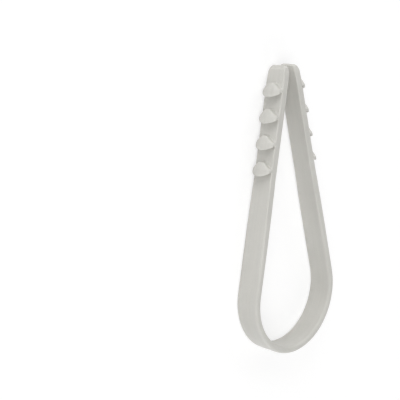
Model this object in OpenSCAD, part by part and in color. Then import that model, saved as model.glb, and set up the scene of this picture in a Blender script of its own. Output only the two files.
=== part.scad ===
// Push-in cable clamp, moulded in one piece: a flat strap bent into a loop that holds a round
// cable, with two barbed legs that are pressed together and pushed into a drilled wall hole.
// The clamp lies on the edge of its strap: X across the loop, +Y towards the tips, Z up.
// Millimetres. The origin is under the middle of the clamp, in the plane that it lies on.

/* [Loop] */
// Diameter of the round cable that the loop holds
cable_d = 21.2; // [12:0.2:36]

/* [Strap] */
// Thickness of the strap
strap_t = 1.5; // [1:0.1:1.8]
// Width of the strap
strap_w = 5.4; // [5.2:0.1:9]
// Radius that rounds the long edges of the strap
strap_edge_r = 0.6; // [0.2:0.05:0.65]

/* [Legs] */
// Straight length of each leg, from the end of the loop's arc to the tip
leg_len = 45.2; // [38:0.1:70]
// Gap between the flat inner faces at the tips
tip_gap = 1; // [0.6:0.1:4]
// Width of a leg along its barbs
plug_w = 4.5; // [4:0.1:5]
// Length over which a leg widens from the last barb to the strap's full width
widen_len = 16; // [3:0.5:18]

/* [Nose] */
// Width of a leg at its very end
tip_w = 2.9; // [1:0.1:3.4]
// Width where the blunt end meets the slender nose
nose_w = 3.7; // [3.5:0.1:4]
// Length of the blunt end
tip_len = 0.4; // [0.2:0.1:1]
// Distance from the tip to where the leg has its full width
nose_len = 3.2; // [2:0.1:4]
// Length of the bevels on the outer and inner face at the tip
bevel_len = 0.9; // [0.5:0.1:2]
// Depth of the bevel on the outer face
bevel_out = 0.45; // [0.1:0.05:0.5]
// Depth of the bevel on the inner face
bevel_in = 0.2; // [0.1:0.05:0.3]

/* [Barbs] */
// Number of barbs on each leg
barb_count = 4; // [1:1:5]
// Distance from one barb to the next
barb_pitch = 5.1; // [4:0.1:6]
// Distance from the tip to the outermost point of the first barb
first_barb = 5.9; // [5.5:0.05:7.5]
// How much further from the tip the other leg's barbs are, so that the rows are staggered
barb_stagger = 0.6; // [0:0.1:1]
// Diameter over the barbs when both legs are pressed together
barbs_d = 6.4; // [5.6:0.1:6.8]
// Diameter over the barbs' blunt front ends
barb_front_d = 5.2; // [4:0.1:5.5]
// Length of a barb along the leg
barb_len = 3; // [2:0.1:3.5]
// Width of a barb's front end
barb_nib = 1; // [0.4:0.1:2]
// Half of the angle at which a barb widens from that end
barb_spread = 52; // [40:1:60]
// Slope of the undercut below a barb, from square to the leg
barb_undercut = 40; // [10:1:45]

/* [Hidden] */
$fn = 96;

seat_r = cable_d / 2;
mid_z = strap_w / 2;
edge_r = min(strap_edge_r, 0.45 * strap_t);

// The legs are tangent to the loop, and lean in until their tips leave tip_gap between them.
tip_reach = sqrt(seat_r * seat_r + leg_len * leg_len);
gap_angle = asin(tip_gap / 2 / tip_reach);
lean = round(1000 * (asin(seat_r / tip_reach) - gap_angle)) / 1000;
tip_y = tip_reach * cos(gap_angle) + (strap_t - bevel_out) * sin(lean);
seat_y = (seat_r + strap_t - tip_y) / 2;

// From the last barb each leg widens, and goes on widening until it is the whole strap.
last_barb = first_barb + barb_stagger + (barb_count - 1) * barb_pitch;
widen_end = min(last_barb + widen_len, leg_len - strap_w);
widening = (strap_w - plug_w) / 2 / (widen_end - last_barb);

// A barb's top is turned around the middle of the inner face. It rises by barb_belly of its
// whole rise over the first half of its length.
crest_r = barbs_d / 2;
front_r = barb_front_d / 2;
barb_belly = 0.8;

// Section of the strap: x outwards from the inner face, y across the width
module strap_section() {
    translate([0, edge_r]) square([strap_t, strap_w - 2 * edge_r]);
    translate([edge_r, 0]) square([strap_t - 2 * edge_r, strap_w]);
    for (x = [edge_r, strap_t - edge_r], y = [edge_r, strap_w - edge_r])
        translate([x, y]) circle(r = edge_r);
}

// The loop's arc, from just past its lowest point to the end of the leg
module half_loop() {
    past = 5;
    rotate_extrude(angle = 90 + lean + past, start = -90 - lean - past)
        translate([seat_r, 0]) strap_section();
}

// Along a leg: x outwards from the inner face, y across the width, z from the tip to the loop
module leg_strap() {
    linear_extrude(leg_len)
        translate([0, -mid_z]) strap_section();
}

// The leg's outline from outside: blunt tip, slender nose, even width at the barbs, widening
module leg_outline() {
    half = [
        [tip_w / 2, 0],
        [nose_w / 2, tip_len],
        [(nose_w + 2 * plug_w) / 6, (2 * tip_len + nose_len) / 3],
        [plug_w / 2, nose_len],
        [plug_w / 2, last_barb],
        [plug_w / 2 + widening * leg_len, last_barb + leg_len]
    ];
    other = [for (i = [len(half) - 1:-1:0]) [-half[i][0], half[i][1]]];
    translate([-1, 0, 0])
        rotate([90, 0, 90])
            linear_extrude(crest_r + 2) polygon(concat(half, other));
}

// The leg's outline from its edge: a bevel on each face at the tip
module leg_bevels() {
    far = 2 * leg_len;
    translate([0, strap_w, 0])
        rotate([90, 0, 0])
            linear_extrude(2 * strap_w)
                polygon([
                    [bevel_in, 0],
                    [strap_t - bevel_out, 0],
                    [strap_t, bevel_len],
                    [far, bevel_len],
                    [far, far],
                    [-1, far],
                    [-1, bevel_len],
                    [0, bevel_len]
                ]);
}

// One barb, with its outermost point at the given distance from the tip
module barb(crest) {
    intersection() {
        translate([0, 0, crest - barb_len]) barb_top();
        translate([0, 0, crest - barb_len]) barb_outline();
        translate([0, 0, crest]) barb_side();
    }
}

module barb_top() {
    rotate_extrude(angle = 180, start = -90)
        polygon([
            [0, 0],
            [front_r, 0],
            [front_r + barb_belly * (crest_r - front_r), barb_len / 2],
            [crest_r, barb_len],
            [0, barb_len]
        ]);
}

// A barb's outline from outside: a blunt wedge
module barb_outline() {
    reach = barb_nib / 2 + barb_len * tan(barb_spread);
    rotate([90, 0, 90])
        linear_extrude(crest_r + 1)
            polygon([
                [-barb_nib / 2, 0],
                [barb_nib / 2, 0],
                [reach, barb_len],
                [-reach, barb_len]
            ]);
}

// A barb's outline from its edge: it grows out of the strap's middle, over the undercut
module barb_side() {
    slope = tan(barb_undercut);
    root = strap_t / 2;
    out = crest_r + 1;
    translate([0, strap_w, 0])
        rotate([90, 0, 0])
            linear_extrude(2 * strap_w)
                polygon([
                    [root, -2 * barb_len],
                    [out, -2 * barb_len],
                    [out, slope],
                    [root, (root - crest_r) * slope]
                ]);
}

// One leg, with its barbs moved away from the tip by a shift
module leg(shift) {
    translate([seat_r, leg_len, mid_z])
        rotate([90, 0, 0])
            intersection() {
                union() {
                    leg_strap();
                    for (i = [0:barb_count - 1])
                        barb(first_barb + shift + i * barb_pitch);
                }
                leg_outline();
                leg_bevels();
            }
}

// The half on the side of +X
module half_clamp(shift) {
    intersection() {
        rotate(lean) {
            half_loop();
            leg(shift);
        }
        translate([0, -leg_len, -leg_len]) cube(3 * leg_len);
    }
}

module clamp() {
    color("lightgray")
        translate([0, seat_y, 0]) {
            half_clamp(0);
            mirror([1, 0, 0]) half_clamp(barb_stagger);
        }
}

clamp();
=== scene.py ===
"""Looks of the push-in cable clamp: satin light grey plastic, lying on a plain white floor.

Lengths are in metres and angles in degrees. The frame is the CAD's: X across the loop, +Y towards
the plug's tips, +Z up. The clamp is one CAD node, which keeps its mesh. Modifiers give it the soft
edges of a moulded part, and a node material gives it its finish.
"""

import math

import bpy
from mathutils import Euler, Matrix, Vector


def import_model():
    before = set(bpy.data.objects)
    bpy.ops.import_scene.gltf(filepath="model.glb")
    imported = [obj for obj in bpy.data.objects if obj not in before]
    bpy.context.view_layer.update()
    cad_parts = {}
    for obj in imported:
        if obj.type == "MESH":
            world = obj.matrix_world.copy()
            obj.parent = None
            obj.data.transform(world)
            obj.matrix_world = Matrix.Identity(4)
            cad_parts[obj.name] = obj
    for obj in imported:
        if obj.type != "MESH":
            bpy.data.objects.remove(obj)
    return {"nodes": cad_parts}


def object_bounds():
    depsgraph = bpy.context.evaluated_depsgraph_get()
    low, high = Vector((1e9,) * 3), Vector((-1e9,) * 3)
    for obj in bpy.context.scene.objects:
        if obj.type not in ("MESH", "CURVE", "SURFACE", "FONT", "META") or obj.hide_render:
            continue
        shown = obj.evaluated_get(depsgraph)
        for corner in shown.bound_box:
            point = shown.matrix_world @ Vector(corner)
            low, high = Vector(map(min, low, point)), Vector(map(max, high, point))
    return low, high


WHITE = (1.0, 1.0, 1.0, 1.0)
UNIT = (0.0, 1.0)

# Camera. It looks down on the lying clamp from the side of the left leg. CAMERA_AIM is the point
# in the middle of the picture, counted from the middle of the clamp.
CAMERA_AIM = (-0.02362, 0.00700, 0.0)
CAMERA_DISTANCE = 0.17368
CAMERA_AZIMUTH = -109.83
CAMERA_ELEVATION = 44.61
CAMERA_ROLL = 102.22
CAMERA_LENS = 85.81
CAMERA_NEAREST = 0.001

# Soft edges. The remesh makes an even mesh, the smoothing rounds it, and KEPT_SHARE is the share
# of its faces that stays.
VOXEL = 0.0001
SMOOTH_FACTOR = 0.5
SMOOTH_STEPS = 14
KEPT_SHARE = 0.42

# Colour of the plastic. It varies by COLOUR_SPREAD either way, over the TONE_LEVELS of three
# noises added up. Noise scales are in waves per metre. The flow lines run along the strap.
PLASTIC_COLOUR = (0.583, 0.575, 0.540)
COLOUR_SPREAD = 0.045
TONE_LEVELS = (1.1, 1.9)
PLAIN_DETAIL = 2.0
CLOUD_SCALE = 170
FLOW_SCALES = (60, 60, 1700)
FLOW_DETAIL = 3.0
GRAIN_SCALE = 4200
GRAIN_DETAIL = 3.0

# Painted highlight: edges are painted a little lighter than the faces, as if they caught the light.
# EDGE_COSINES are those of the turn between the surface and its surroundings within EDGE_REACH,
# where an edge starts to count and where it counts fully.
EDGE_PAINTED_HIGHLIGHT = 0.015
EDGE_REACH = 0.0005
EDGE_SAMPLES = 4
EDGE_COSINES = (0.98, 0.80)

# Surface of the plastic: fine grain and low waves, uneven gloss, and scuffs along the strap
GRAIN_HEIGHT = 0.000004
WAVE_SCALE = 420
WAVE_HEIGHT = 0.00002
GLOSS_SCALE = 900
GLOSS_DETAIL = 3.0
GLOSS_LEVELS = (0.3, 0.7)
ROUGHNESS_RANGE = (0.40, 0.54)
SCUFF_SCALES = (260, 260, 2600)
SCUFF_DETAIL = 4.0
SCUFF_LEVELS = (0.66, 0.78)
SCUFF_ROUGHNESS = 0.10

# Light that passes a little way through the plastic, red, green and blue alike
INNER_LIGHT_SHARE = 0.3
INNER_LIGHT_DEPTH = 0.0005
INNER_LIGHT_RADII = (1.0, 1.0, 1.0)

# Light. A level is the brightness of a white surface that faces the light: 1 shows as white.
WORLD_LEVEL = 0.235
LAMP_DISTANCE = 0.6
LAMP_SIDE = 0.5
LAMPS = {
    # name: azimuth, elevation, level
    "side_lamp": (-90, 50, 0.49),
    "tip_lamp": (-160, 10, 0.62),
    "back_lamp": (135, 20, 0.31),
    "loop_lamp": (0, 25, 0.42),
}

# Background. The floor that lights the clamp is plain. The floor that is seen also glows: by
# SEEN_FLOOR_GLOW near the clamp, where its shadow shows, rising over GLOW_DISTANCES to WHITE_GLOW.
WHITE_GLOW = 1.0
FLOOR_SIDE = 20.0
FLOOR_COLOUR = (0.9, 0.9, 0.9, 1.0)
FLOOR_ROUGHNESS = 0.9
SEEN_FLOOR_COLOUR = (0.45, 0.45, 0.45, 1.0)
SEEN_FLOOR_GLOW = 0.60
GLOW_DISTANCES = (0.10, 0.45)


def direction(azimuth, elevation):
    """The unit vector towards a camera or lamp; azimuth 0 is the side of -Y, and 90 that of +X."""
    turn = Euler((math.radians(90 - elevation), 0, math.radians(azimuth)))
    return turn.to_matrix() @ Vector((0, 0, 1))


def camera(centre):
    """The camera at the photograph's viewing angle."""
    data = bpy.data.cameras.new("camera")
    data.lens = CAMERA_LENS
    data.clip_start = CAMERA_NEAREST
    camera_object = bpy.data.objects.new("camera", data)
    bpy.context.scene.collection.objects.link(camera_object)
    aim = centre + Vector(CAMERA_AIM)
    place = aim + CAMERA_DISTANCE * direction(CAMERA_AZIMUTH, CAMERA_ELEVATION)
    camera_object.matrix_world = (
        Matrix.Translation(place)
        @ Matrix.Rotation(math.radians(CAMERA_AZIMUTH), 4, "Z")
        @ Matrix.Rotation(math.radians(90 - CAMERA_ELEVATION), 4, "X")
        @ Matrix.Rotation(math.radians(CAMERA_ROLL), 4, "Z")
    )
    bpy.context.scene.camera = camera_object


def lamp(name, centre, azimuth, elevation, level):
    """A soft square lamp that faces the clamp, with the power that gives its level there."""
    data = bpy.data.lights.new(name, "AREA")
    data.size = LAMP_SIDE
    data.energy = level * math.pi ** 2 * LAMP_DISTANCE ** 2
    lamp_object = bpy.data.objects.new(name, data)
    lamp_object.visible_camera = False
    bpy.context.scene.collection.objects.link(lamp_object)
    towards = direction(azimuth, elevation)
    lamp_object.location = centre + LAMP_DISTANCE * towards
    lamp_object.rotation_euler = towards.to_track_quat("Z", "Y").to_euler()


def noise(nodes, links, vector, scale, detail=PLAIN_DETAIL):
    """Cloudy noise from 0 to 1 around 0.5."""
    node = nodes.new("ShaderNodeTexNoise")
    node.inputs["Scale"].default_value = scale
    node.inputs["Detail"].default_value = detail
    links.new(vector, node.inputs["Vector"])
    return node.outputs["Fac"]


def stretched_noise(nodes, links, vector, scales, detail):
    """Noise with its own scale on each axis."""
    node = nodes.new("ShaderNodeVectorMath")
    node.operation = "MULTIPLY"
    node.inputs[1].default_value = scales
    links.new(vector, node.inputs[0])
    return noise(nodes, links, node.outputs["Vector"], 1.0, detail)


def ranged(nodes, links, value, before, after):
    """A value moved, and held, from one range to another."""
    node = nodes.new("ShaderNodeMapRange")
    for name, number in zip(("From Min", "From Max", "To Min", "To Max"), (*before, *after)):
        node.inputs[name].default_value = number
    links.new(value, node.inputs["Value"])
    return node.outputs["Result"]


def combined(nodes, links, operation, first, second):
    """Two values joined by one arithmetic step."""
    node = nodes.new("ShaderNodeMath")
    node.operation = operation
    links.new(first, node.inputs[0])
    links.new(second, node.inputs[1])
    return node.outputs[0]


def bumped(nodes, links, height, distance, normal=None):
    """A surface raised by a height from 0 to 1 times a distance."""
    node = nodes.new("ShaderNodeBump")
    node.inputs["Distance"].default_value = distance
    links.new(height, node.inputs["Height"])
    if normal:
        links.new(normal, node.inputs["Normal"])
    return node.outputs["Normal"]


def edges(nodes, links):
    """Where the edge highlight is painted: 0 on a face, rising to 1 on a tight edge."""
    bevel = nodes.new("ShaderNodeBevel")
    bevel.samples = EDGE_SAMPLES
    bevel.inputs["Radius"].default_value = EDGE_REACH
    geometry = nodes.new("ShaderNodeNewGeometry")
    dot = nodes.new("ShaderNodeVectorMath")
    dot.operation = "DOT_PRODUCT"
    links.new(bevel.outputs["Normal"], dot.inputs[0])
    links.new(geometry.outputs["Normal"], dot.inputs[1])
    return ranged(nodes, links, dot.outputs["Value"], EDGE_COSINES, UNIT)


def plastic():
    """Satin moulded plastic: fine grain, faint flow lines along the strap, uneven gloss, scuffs,
    and a highlight painted on tight edges.
    """
    material = bpy.data.materials.new("light_grey_plastic")
    material.use_nodes = True
    nodes, links = material.node_tree.nodes, material.node_tree.links
    shader = nodes["Principled BSDF"]
    place = nodes.new("ShaderNodeTexCoord").outputs["Object"]

    clouds = noise(nodes, links, place, CLOUD_SCALE)
    flow = stretched_noise(nodes, links, place, FLOW_SCALES, FLOW_DETAIL)
    grain = noise(nodes, links, place, GRAIN_SCALE, GRAIN_DETAIL)
    waves = noise(nodes, links, place, WAVE_SCALE)
    gloss = noise(nodes, links, place, GLOSS_SCALE, GLOSS_DETAIL)
    scuffs = stretched_noise(nodes, links, place, SCUFF_SCALES, SCUFF_DETAIL)

    tone = combined(nodes, links, "ADD", clouds, flow)
    tone = combined(nodes, links, "ADD", tone, grain)
    tone = ranged(nodes, links, tone, TONE_LEVELS, (1 - COLOUR_SPREAD, 1 + COLOUR_SPREAD))
    # Painted highlight: the colour is lightened on tight edges, as if they caught the light.
    painted_highlight = ranged(nodes, links, edges(nodes, links), UNIT, (1, 1 + EDGE_PAINTED_HIGHLIGHT))
    tone = combined(nodes, links, "MULTIPLY", tone, painted_highlight)
    colour = nodes.new("ShaderNodeVectorMath")
    colour.operation = "SCALE"
    colour.inputs[0].default_value = PLASTIC_COLOUR
    links.new(tone, colour.inputs["Scale"])
    links.new(colour.outputs["Vector"], shader.inputs["Base Color"])

    roughness = ranged(nodes, links, gloss, GLOSS_LEVELS, ROUGHNESS_RANGE)
    rougher = ranged(nodes, links, scuffs, SCUFF_LEVELS, (0, SCUFF_ROUGHNESS))
    roughness = combined(nodes, links, "ADD", roughness, rougher)
    links.new(roughness, shader.inputs["Roughness"])

    normal = bumped(nodes, links, waves, WAVE_HEIGHT)
    normal = bumped(nodes, links, grain, GRAIN_HEIGHT, normal)
    links.new(normal, shader.inputs["Normal"])

    shader.inputs["Subsurface Weight"].default_value = INNER_LIGHT_SHARE
    shader.inputs["Subsurface Radius"].default_value = INNER_LIGHT_RADII
    shader.inputs["Subsurface Scale"].default_value = INNER_LIGHT_DEPTH
    return material


def soften(piece):
    """Round the piece's edges as a mould does."""
    remesh = piece.modifiers.new("remesh", "REMESH")
    remesh.mode = "VOXEL"
    remesh.voxel_size = VOXEL
    remesh.use_smooth_shade = True
    smooth = piece.modifiers.new("smooth", "SMOOTH")
    smooth.factor = SMOOTH_FACTOR
    smooth.iterations = SMOOTH_STEPS
    thin = piece.modifiers.new("thin", "DECIMATE")
    thin.ratio = KEPT_SHARE


def seen(nodes, links):
    """1 for what the camera sees, directly, mirrored or through something clear; otherwise 0."""
    path = nodes.new("ShaderNodeLightPath")
    value = path.outputs["Is Camera Ray"]
    for name in ("Is Glossy Ray", "Is Transmission Ray"):
        value = combined(nodes, links, "MAXIMUM", value, path.outputs[name])
    return value


def world():
    """Even light from all sides, and a plain white background."""
    scene = bpy.context.scene
    scene.world = bpy.data.worlds.new("world")
    scene.world.use_nodes = True
    nodes, links = scene.world.node_tree.nodes, scene.world.node_tree.links
    background = nodes["Background"]
    background.inputs["Color"].default_value = WHITE
    strength = ranged(nodes, links, seen(nodes, links), UNIT, (WORLD_LEVEL, WHITE_GLOW))
    links.new(strength, background.inputs["Strength"])


def floor(height):
    """A white floor, which keeps the clamp's shadow near it and is plain white further off."""
    bpy.ops.mesh.primitive_plane_add(size=FLOOR_SIDE, location=(0, 0, height))
    plane = bpy.context.object
    plane.name = "floor"
    material = bpy.data.materials.new("floor")
    material.use_nodes = True
    nodes, links = material.node_tree.nodes, material.node_tree.links
    plain = nodes["Principled BSDF"]
    plain.inputs["Base Color"].default_value = FLOOR_COLOUR
    plain.inputs["Roughness"].default_value = FLOOR_ROUGHNESS
    glowing = nodes.new("ShaderNodeBsdfPrincipled")
    glowing.inputs["Base Color"].default_value = SEEN_FLOOR_COLOUR
    glowing.inputs["Roughness"].default_value = FLOOR_ROUGHNESS
    glowing.inputs["Emission Color"].default_value = WHITE
    distance = nodes.new("ShaderNodeVectorMath")
    distance.operation = "LENGTH"
    links.new(nodes.new("ShaderNodeTexCoord").outputs["Object"], distance.inputs[0])
    glow = ranged(
        nodes, links, distance.outputs["Value"], GLOW_DISTANCES, (SEEN_FLOOR_GLOW, WHITE_GLOW)
    )
    links.new(glow, glowing.inputs["Emission Strength"])
    mix = nodes.new("ShaderNodeMixShader")
    links.new(seen(nodes, links), mix.inputs["Fac"])
    links.new(plain.outputs["BSDF"], mix.inputs[1])
    links.new(glowing.outputs["BSDF"], mix.inputs[2])
    links.new(mix.outputs["Shader"], nodes["Material Output"].inputs["Surface"])
    plane.data.materials.append(material)


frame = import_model()
cad_low, cad_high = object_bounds()
centre = (cad_low + cad_high) / 2
clamp = frame["nodes"]["clamp"]

camera(centre)
clamp.data.materials.clear()
clamp.data.materials.append(plastic())
soften(clamp)
floor(cad_low.z)
world()
for name, (azimuth, elevation, level) in LAMPS.items():
    lamp(name, centre, azimuth, elevation, level)
bpy.context.scene.view_settings.view_transform = "Standard"
